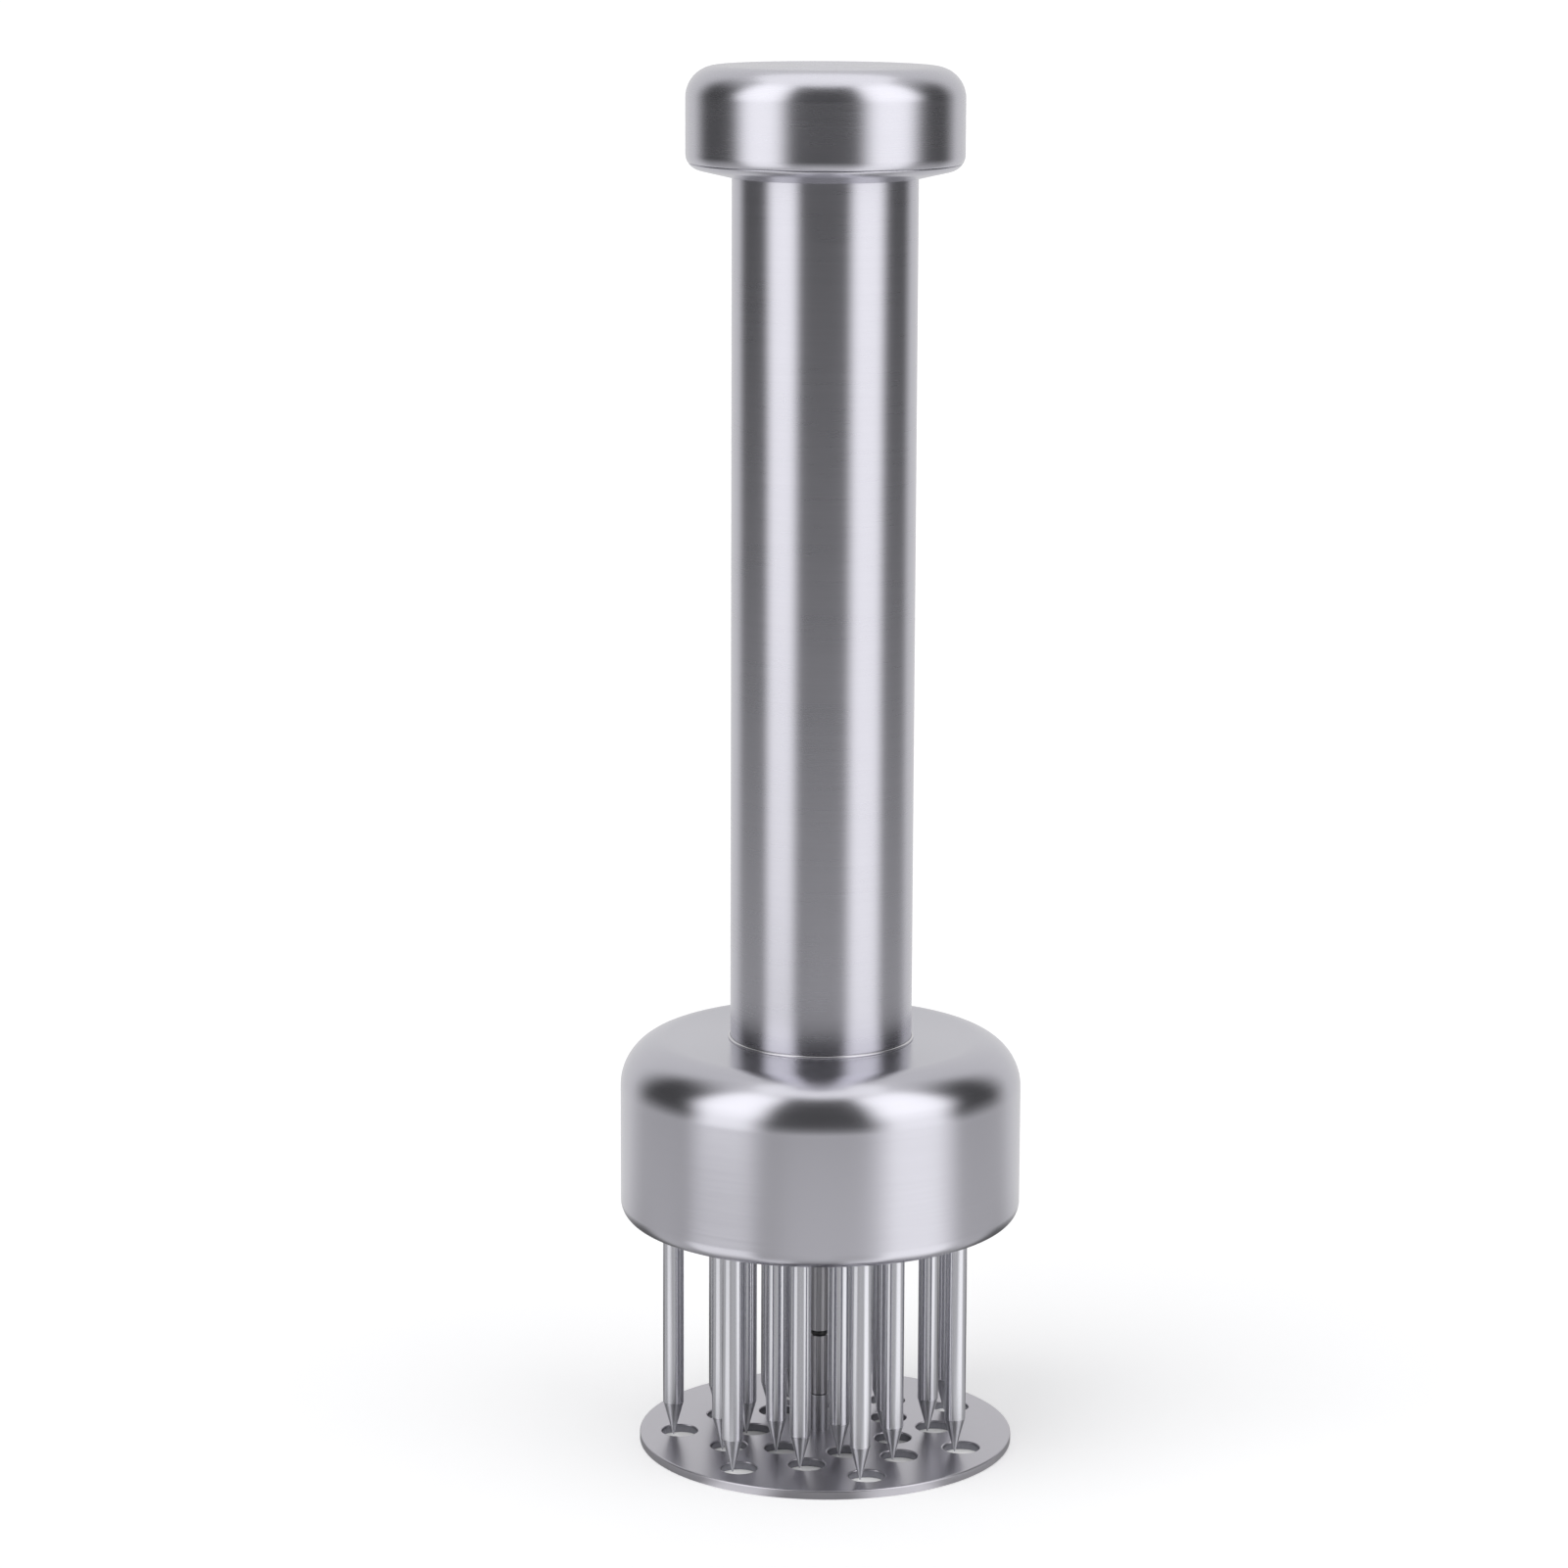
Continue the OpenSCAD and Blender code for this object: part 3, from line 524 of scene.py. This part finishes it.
def make_needle_plate(screws, screw_head_r):
    bevel = NEEDLE_PLATE_BEVEL
    edge = [(plate_r - bevel, plate_low), (plate_r, plate_low + bevel),
            (plate_r, plate_top - bevel), (plate_r - bevel, plate_top)]
    head_z0 = needle_high.z - NEEDLE_HEAD_H - FIT_GAP
    shank_r = NEEDLE_D / 2 + FIT_GAP
    needle_hole = [(shank_r + EDGE_ROUND, plate_low), (shank_r, plate_low + EDGE_ROUND),
                   (shank_r, head_z0), (needle_head_r + FIT_GAP, head_z0),
                   (needle_head_r + FIT_GAP, plate_top)]
    screw_hole = [(screw_head_r + FIT_GAP, plate_low), (SCREW_D / 2 + FIT_GAP, plate_low + SCREW_HEAD_H),
                  (SCREW_D / 2 + FIT_GAP, plate_top)]
    bolt_hole = [(BOLT_SHANK_D / 2 + FIT_GAP, plate_low), (BOLT_SHANK_D / 2 + FIT_GAP, plate_top)]
    mesh = bmesh.new()
    walls = [add_wall(mesh, (0, 0), edge, WIDE_SIDES), add_wall(mesh, (0, 0), bolt_hole, FINE_SIDES)]
    walls += [add_wall(mesh, middle(node), needle_hole, FINE_SIDES) for node in needles]
    walls += [add_wall(mesh, place, screw_hole, FINE_SIDES) for place in screws]
    add_cap(mesh, *[first for first, last in walls])
    add_cap(mesh, *[last for first, last in walls])
    make_piece("drilled_needle_plate", mesh, "handle", plate_steel, "plate_steel", "needle_plate")


def make_screws(screws, screw_head_r, screw_low, screw_high):
    socket_r = SOCKET_FLATS / 2 / math.cos(math.pi / HEX_SIDES)
    outline = [(screw_head_r - EDGE_ROUND, screw_low), (screw_head_r, screw_low + EDGE_ROUND),
               (SCREW_D / 2, screw_low + SCREW_HEAD_H), (SCREW_D / 2, screw_high - END_ROUND),
               (SCREW_D / 2 - END_ROUND, screw_high), (0, screw_high)]
    socket = [(socket_r, screw_low), (socket_r, screw_low + SOCKET_DEPTH), (0, screw_low + SOCKET_DEPTH)]
    mesh = bmesh.new()
    for place in screws:
        rim, _ = add_wall(mesh, place, outline, FINE_SIDES)
        mouth, _ = add_wall(mesh, place, socket, HEX_SIDES)
        add_cap(mesh, rim, mouth)
    make_piece("countersunk_screws", mesh, "handle", plain_steel, "plain_steel", "plate_screws")


def make_bolt_and_bush():
    bore_r = BUSH_D / 2 + FIT_GAP
    shank_r = BOLT_SHANK_D / 2
    head_top = bolt_low + BOLT_HEAD_H - FIT_GAP
    head = [(bolt_r - BOLT_HEAD_BEVEL, bolt_low), (bolt_r, bolt_low + END_ROUND),
            (bolt_r, head_top - END_ROUND), (bolt_r - BOLT_HEAD_BEVEL, head_top)]
    shank = [(shank_r, head_top)]
    shank += arc(shank_r - END_ROUND, bolt_top - END_ROUND, END_ROUND, 0, 90, step=EDGE_STEP)
    shank += arc(bore_r + EDGE_ROUND, bolt_top - EDGE_ROUND, EDGE_ROUND, 90, 180, step=EDGE_STEP)
    shank += [(bore_r, bolt_low + EDGE_ROUND), (bore_r + EDGE_ROUND, bolt_low)]
    mesh = bmesh.new()
    head_low, head_high = add_wall(mesh, (0, 0), head, HEX_SIDES)
    shank_foot, bore_mouth = add_wall(mesh, (0, 0), shank, FINE_SIDES)
    add_cap(mesh, head_low, bore_mouth)
    add_cap(mesh, head_high, shank_foot)
    make_piece("hollow_bolt", mesh, "handle", plain_steel, "plain_steel", "tie_bolt")

    flange_top = bush_low + BUSH_FLANGE_T - FIT_GAP
    inner_r = rod_r + FIT_GAP * 2
    bush = rounded([(inner_r, bush_low, EDGE_ROUND), (bush_r, bush_low, END_ROUND),
                    (bush_r, flange_top, EDGE_ROUND), (BUSH_D / 2, flange_top, 0),
                    (BUSH_D / 2, bush_top, EDGE_ROUND), (inner_r, bush_top, EDGE_ROUND)])
    turned("turned_bush", bush, "handle", bearing_brass, "bearing_brass", "lower_bush", sides=FINE_SIDES)


# Foot plate with a rounded hole under each needle

def make_foot_plate():
    edge = arc(foot_r - FOOT_LOW_ROUND, FOOT_LOW_ROUND, FOOT_LOW_ROUND, -90, 0, step=SMALL_STEP)
    edge += arc(foot_r - FOOT_TOP_ROUND, foot_top - FOOT_TOP_ROUND, FOOT_TOP_ROUND, 0, 90, step=RIM_STEP)
    hole_r = HOLE_D / 2
    wall_top = foot_top - HOLE_TOP_ROUND
    hole = arc(hole_r + HOLE_LOW_ROUND, HOLE_LOW_ROUND, HOLE_LOW_ROUND, 270, 180, step=SMALL_STEP)
    hole += arc(hole_r + HOLE_TOP_ROUND, wall_top, HOLE_TOP_ROUND, 180, 90, step=SMALL_STEP)
    boss_hole = [(rivet_r + FIT_GAP, 0), (SHANK_D / 2 + FIT_GAP, RIVET_H), (SHANK_D / 2 + FIT_GAP, foot_top)]
    mesh = bmesh.new()
    walls = [add_wall(mesh, foot_place, edge, WIDE_SIDES), add_wall(mesh, (0, 0), boss_hole, FINE_SIDES)]
    tumbled_faces = len(mesh.faces)
    walls += [add_wall(mesh, middle(node) + foot_place, hole, FINE_SIDES) for node in needles]
    # Faces below each hole's top round get the punched finish, whose darker colour is painted shade in the
    # holes
    for face in list(mesh.faces)[tumbled_faces:]:
        highest = max(vert.co.z for vert in face.verts)
        face.material_index = int(highest < wall_top + FIT_GAP)
    add_cap(mesh, *[first for first, last in walls])
    add_cap(mesh, *[last for first, last in walls])
    plate = make_piece("drilled_foot_plate", mesh, "plunger", plate_steel, "plate_steel", "foot_plate")
    plate.data.materials.append(punched_shaded_steel)


# Boss, rod and the ring in the rod's groove

def make_rod():
    boss_r = BOSS_D / 2
    spigot_r = ROD_SPIGOT_D / 2
    bore_z = rod_low - FIT_GAP
    boss = [(0, 0), (rivet_r, 0), (SHANK_D / 2, RIVET_H), (SHANK_D / 2, foot_top), (boss_r, foot_top)]
    boss += arc(boss_r - EDGE_ROUND, boss_top - EDGE_ROUND, EDGE_ROUND, 0, 90, step=EDGE_STEP)
    boss += [(spigot_r + FIT_GAP, boss_top), (spigot_r + FIT_GAP, bore_z), (0, bore_z)]
    turned("turned_boss", boss, "plunger", matt_steel, "matt_steel", "foot_boss",
           sides=FINE_SIDES, closed=False)

    groove_r = rod_r - GROOVE_DEPTH
    groove_low = ring_low - FIT_GAP
    groove_top = ring_top + FIT_GAP
    lip_r = rod_r - GROOVE_LIP
    rod = [(0, rod_low), (spigot_r, rod_low), (spigot_r, boss_top + FIT_GAP)]
    rod += arc(rod_r - EDGE_ROUND, boss_top + FIT_GAP + EDGE_ROUND, EDGE_ROUND, -90, 0, step=EDGE_STEP)
    rod += [(rod_r, groove_low - GROOVE_LIP), (lip_r, groove_low), (groove_r, groove_low)]
    rod += [(groove_r, groove_top), (lip_r, groove_top), (rod_r, groove_top + GROOVE_LIP)]
    rod += arc(rod_r - END_ROUND, rod_top - END_ROUND, END_ROUND, 0, 90, step=EDGE_STEP)
    rod += [(0, rod_top)]
    turned("ground_rod", rod, "plunger", shaded_rod_steel, "polished_steel", "guide_rod",
           sides=FINE_SIDES, closed=False)

    inner_r = groove_r + FIT_GAP
    ring_round = (ring_top - ring_low) / 4
    ring = rounded([(inner_r, ring_low, 0), (ring_r, ring_low, ring_round),
                    (ring_r, ring_top, ring_round), (inner_r, ring_top, 0)], step=SMALL_STEP)
    turned("rubber_rod_ring", ring, "plunger", black_rubber, "black_rubber", "rod_ring", sides=FINE_SIDES)


# Return spring of round wire; the real one shortens as the plunger rises, the mesh keeps one length

def make_spring():
    wire_r = WIRE_D / 2
    coil_r = spring_r - wire_r
    low_z = spring_low + wire_r
    high_z = spring_top - wire_r
    steps = SPRING_TURNS * STEPS_PER_TURN
    mesh = bmesh.new()
    rings = []
    for step in range(steps + 1):
        turn = 2 * math.pi * step / STEPS_PER_TURN
        z = low_z + (high_z - low_z) * step / steps
        ring = []
        for side in range(WIRE_SIDES):
            around = 2 * math.pi * side / WIRE_SIDES
            radius = coil_r + wire_r * math.cos(around)
            ring.append(mesh.verts.new((radius * math.cos(turn), radius * math.sin(turn),
                                        z + wire_r * math.sin(around))))
        rings.append(ring)
    for here, after in zip(rings, rings[1:]):
        join_rings(mesh, here, after)
    for ring in (rings[0], rings[-1]):
        mesh.faces.new(ring)
    spring = make_piece("wound_spring", mesh, "handle", spring_steel, "spring_steel", "return_spring")
    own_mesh(spring)


# Hidden nodes keep their CAD shape and get their own finish

HIDDEN_FINISHES = {
    "knob_core": alloy, "knob_stud": plain_steel, "tube_top_plug": plain_steel,
    "spring_seat": plain_steel, "tube_foot_plug": plain_steel, "backing_block": white_nylon,
    "upper_bush": bearing_brass, "bumper": black_rubber, "stop_washer": plain_steel,
    "rod_nuts": plain_steel, "spring_piston": white_nylon,
}


def finish_hidden_nodes():
    for node, material in HIDDEN_FINISHES.items():
        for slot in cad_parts[node].material_slots:
            slot.material = material


# Studio: pale floor, a dome of soft panels and dark cards that only reflections see, and two soft suns

FLOOR_SIZE = 24.0
FLOOR_CELLS = 8
FLOOR_COLOUR = "#EEEEEE"
FLOOR_ROUGHNESS = 0.9
# Light that the floor gives to the camera and to the steel, so that it looks white beside its shadow
FLOOR_LIFT = 0.29
WORLD_COLOUR = "#F8F8FA"
WORLD_STRENGTH = 0.62
DOME_RADIUS = 0.60
DOME_CENTRE_Z = 0.10
# The dome's floor starts under the foot plate's rim
DOME_INNER = 0.0256
DOME_FLOOR_Z = 0.05 * MM
# Height at which the dome ends, steps of its mesh in degrees, and its sides
DOME_TOP_ANGLE = 88
DOME_STEP = 2
DOME_SIDES = 360 // DOME_STEP
# Places of the dome's floor rings, from its inner edge to its wall
DOME_FLOOR_SHARES = (0, 0.04, 0.08, 0.13, 0.19, 0.26, 0.34, 0.45, 0.6, 0.8, 1)
# Light of the dome where no card or panel lies
BACK_LIGHT = 0.78
# Round panel that hangs over the knob
TOP_PANEL_RADIUS = 0.13
TOP_PANEL_Z = 0.40
TOP_PANEL_LIGHT = 1.30
# Cards and panels laid over the dome one after the other. Turns are degrees to the right of the
# camera's side, heights are degrees above the dome's middle, and the edges are soft over so many degrees.
# The last three lie on the floor close round the foot plate, where its rim mirrors them.
#        name               turns         heights     light  soft turn  soft height
CARDS = [
    ("overhead",           (-180, 180),  (72, 90),    1.30,  20,  16),
    ("left floor",         (-126, 0),    (-90, -14),  0.60,  26,  34),
    ("right floor",        (0, 126),     (-90, -14),  0.60,  26,  34),
    ("left dark card",     (-124, -60),  (-13, 49),   0.07,  26,  34),
    ("right dark card",    (60, 124),    (-13, 49),   0.07,  26,  34),
    ("camera card",        (-58, 58),    (-15, 70),   0.08,  16,  34),
    ("left back card",     (-180, -106), (-90, -44),  0.14,  20,  14),
    ("right back card",    (106, 180),   (-90, -44),  0.14,  20,  14),
    ("middle floor light", (-36, 30),    (-42, -24),  0.76,  16,  8),
    ("left floor light",   (-76, -24),   (-90, -23),  0.46,  30,  12),
    ("left near light",    (-72, -34),   (-90, -38),  1.12,  10,  10),
    ("right floor light",  (31, 72),     (-90, -23),  1.20,  26,  12),
    ("right near light",   (33, 70),     (-90, -42),  1.34,  10,  10),
    ("left panel",         (-72, -35),   (-25, 62),   1.36,  19,  10),
    ("right panel",        (34, 76),     (-25, 62),   1.36,  21,  10),
    ("left high panel",    (-78, -35),   (12, 66),    1.68,  19,  24),
    ("right high panel",   (34, 83),     (12, 66),    1.68,  21,  24),
    ("rim shade",          (-180, 180),  (-90, -70),  0.29,  20,  6),
    ("left rim light",     (-37, -16),   (-90, -70),  1.02,  12,  6),
    ("right rim light",    (14, 38),     (-90, -70),  1.02,  12,  6),
]


def soft_step(value, middle, width):
    """Rises smoothly from 0 to 1 over a width round a middle."""
    share = min(1.0, max(0.0, (value - middle) / width + 0.5))
    return share * share * (3 - 2 * share)


def studio_light(turn, height):
    """Light that the dome gives in one direction."""
    light = BACK_LIGHT
    for _, turns, heights, level, soft_turn, soft_height in CARDS:
        share = soft_step(turn, turns[0], soft_turn) if turns[0] > -180 else 1.0
        share *= 1 - soft_step(turn, turns[1], soft_turn) if turns[1] < 180 else 1.0
        share *= soft_step(height, heights[0], soft_height) if heights[0] > -90 else 1.0
        share *= 1 - soft_step(height, heights[1], soft_height) if heights[1] < 90 else 1.0
        light += (level - light) * share
    return light


def stage_object(name, mesh, material, seen_by_camera):
    """A piece of the studio. What the camera doesn't see is only there for reflections."""
    data = bpy.data.meshes.new(name)
    mesh.to_mesh(data)
    mesh.free()
    data.materials.append(material)
    thing = bpy.data.objects.new(name, data)
    bpy.context.scene.collection.objects.link(thing)
    if not seen_by_camera:
        thing.visible_camera = False
        thing.visible_diffuse = False
        thing.visible_transmission = False
        thing.visible_shadow = False
    return thing


def light_material(name):
    """An empty material whose surface only gives light."""
    material = bpy.data.materials.new(name)
    material.use_nodes = True
    tree = material.node_tree
    tree.nodes.clear()
    glow = add(tree, "ShaderNodeEmission")
    add(tree, "ShaderNodeOutputMaterial", {"Surface": glow.outputs[0]})
    return material, tree, glow


def make_dome():
    """The studio round the object, as light painted on the corners of a fine dome."""
    width = DOME_RADIUS - DOME_INNER
    outline = [(DOME_INNER + width * share, DOME_FLOOR_Z) for share in DOME_FLOOR_SHARES]
    outline += arc(0, DOME_CENTRE_Z, DOME_RADIUS, 0, DOME_TOP_ANGLE, step=DOME_STEP)
    mesh = bmesh.new()
    add_wall(mesh, (0, 0), outline, DOME_SIDES)
    lights = []
    for vert in mesh.verts:
        turn = math.degrees(math.atan2(vert.co.x, -vert.co.y))
        away = math.hypot(vert.co.x, vert.co.y)
        lights.append(studio_light(turn, math.degrees(math.atan2(vert.co.z - DOME_CENTRE_Z, away))))
    material, tree, glow = light_material("studio panels and cards")
    painted = add(tree, "ShaderNodeAttribute", attribute_name="light").outputs["Fac"]
    tree.links.new(painted, glow.inputs["Strength"])
    dome = stage_object("studio_dome", mesh, material, seen_by_camera=False)
    paint = dome.data.attributes.new("light", "FLOAT", "POINT")
    paint.data.foreach_set("value", lights)

    material, tree, glow = light_material("studio top panel")
    glow.inputs["Strength"].default_value = TOP_PANEL_LIGHT
    mesh = bmesh.new()
    add_wall(mesh, (0, 0), [(0, TOP_PANEL_Z), (TOP_PANEL_RADIUS, TOP_PANEL_Z)], DOME_SIDES)
    stage_object("studio_top_panel", mesh, material, seen_by_camera=False)


def seen_rays(tree):
    """1 for the camera and for what shows in steel, 0 for the light on other surfaces."""
    path = add(tree, "ShaderNodeLightPath").outputs
    seen = add(tree, "ShaderNodeMath", {0: path["Is Camera Ray"], 1: path["Is Glossy Ray"]},
               operation="ADD").outputs[0]
    return add(tree, "ShaderNodeMath", {0: seen, 1: path["Is Transmission Ray"]}, operation="ADD",
               use_clamp=True).outputs[0]


def blend_over(tree, value, low, high):
    """Soft step of a value from 0 at low to 1 at high."""
    return add(tree, "ShaderNodeMapRange", {"Value": value, "From Min": low, "From Max": high},
               interpolation_type="SMOOTHSTEP").outputs[0]


def make_floor():
    """A pale floor that looks white in the picture and in the steel, and keeps the object's shadow."""
    material, tree, shader = new_material("pale matt floor")
    shader.inputs["Base Color"].default_value = linear(FLOOR_COLOUR)
    shader.inputs["Roughness"].default_value = FLOOR_ROUGHNESS
    shader.inputs["Specular IOR Level"].default_value = 0.0
    shader.inputs["Emission Color"].default_value = (1.0, 1.0, 1.0, 1.0)
    place = add(tree, "ShaderNodeTexCoord").outputs["Object"]
    away = add(tree, "ShaderNodeVectorMath", {0: place}, operation="LENGTH").outputs["Value"]
    # Under the foot plate the lift fades away, because the floor lies in the shade there
    shade_core = foot_r / 3
    open_floor = blend_over(tree, away, shade_core, foot_r)
    lift = add(tree, "ShaderNodeMath", {0: open_floor, 1: FLOOR_LIFT}, operation="MULTIPLY").outputs[0]
    lift = add(tree, "ShaderNodeMath", {0: seen_rays(tree), 1: lift}, operation="MULTIPLY").outputs[0]
    tree.links.new(lift, shader.inputs["Emission Strength"])
    mesh = bmesh.new()
    bmesh.ops.create_grid(mesh, x_segments=FLOOR_CELLS, y_segments=FLOOR_CELLS, size=FLOOR_SIZE / 2)
    stage_object("studio_floor", mesh, material, seen_by_camera=True)


def make_world():
    """White where the camera and the steel see it, and a plain soft light for everything else."""
    world = bpy.data.worlds.new("studio")
    bpy.context.scene.world = world
    world.use_nodes = True
    tree = world.node_tree
    tree.nodes.clear()
    soft = add(tree, "ShaderNodeBackground", {"Color": linear(WORLD_COLOUR),
                                              "Strength": WORLD_STRENGTH}).outputs[0]
    white = add(tree, "ShaderNodeBackground", {"Color": (1, 1, 1, 1), "Strength": 1.0}).outputs[0]
    both = add(tree, "ShaderNodeMixShader", {0: seen_rays(tree), 1: soft, 2: white}).outputs[0]
    add(tree, "ShaderNodeOutputWorld", {"Surface": both})


def make_sun(name, turn, height, width, strength):
    """A wide soft sun: degrees to the right of the camera's side, degrees up, and degrees across."""
    data = bpy.data.lights.new(name, "SUN")
    data.angle = math.radians(width)
    data.energy = strength
    sun = bpy.data.objects.new(name, data)
    bpy.context.scene.collection.objects.link(sun)
    level = math.cos(math.radians(height))
    towards = Vector((math.sin(math.radians(turn)) * level, -math.cos(math.radians(turn)) * level,
                      math.sin(math.radians(height))))
    sun.rotation_mode = "QUATERNION"
    sun.rotation_quaternion = towards.to_track_quat("Z", "Y")
    sun.visible_glossy = False


# Camera: place, lens and shift worked out from the outlines of knob, tube, bell and plate in the picture

CAMERA_PLACE = (0.0, -651.8 * MM, 225.3 * MM)
CAMERA_PITCH = 10.514
CAMERA_ROLL = 0.30
CAMERA_LENS = 107.25
CAMERA_SENSOR = 36.0
CAMERA_SHIFT = (-0.0245, -0.0320)


def make_camera():
    data = bpy.data.cameras.new("studio_camera")
    data.sensor_width = CAMERA_SENSOR
    data.lens = CAMERA_LENS
    data.shift_x, data.shift_y = CAMERA_SHIFT
    camera = bpy.data.objects.new("studio_camera", data)
    bpy.context.scene.collection.objects.link(camera)
    camera.location = CAMERA_PLACE
    camera.rotation_mode = "ZYX"
    camera.rotation_euler = (math.radians(90 - CAMERA_PITCH), 0, math.radians(CAMERA_ROLL))
    bpy.context.scene.camera = camera


screw_box_low, screw_box_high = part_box("plate_screws")
screws = screw_places()
screw_head_r = screw_box_high.x - max(place.x for place in screws)

make_knob()
make_tube()
make_bell()
make_needles()
make_needle_plate(screws, screw_head_r)
make_screws(screws, screw_head_r, screw_box_low.z, screw_box_high.z)
make_bolt_and_bush()
make_foot_plate()
make_rod()
make_spring()
finish_hidden_nodes()

make_floor()
make_dome()
make_world()
make_sun("key_sun", turn=-50, height=52, width=50, strength=0.85)
make_sun("fill_sun", turn=60, height=42, width=60, strength=0.45)
make_camera()

bpy.context.scene.view_settings.view_transform = "Standard"
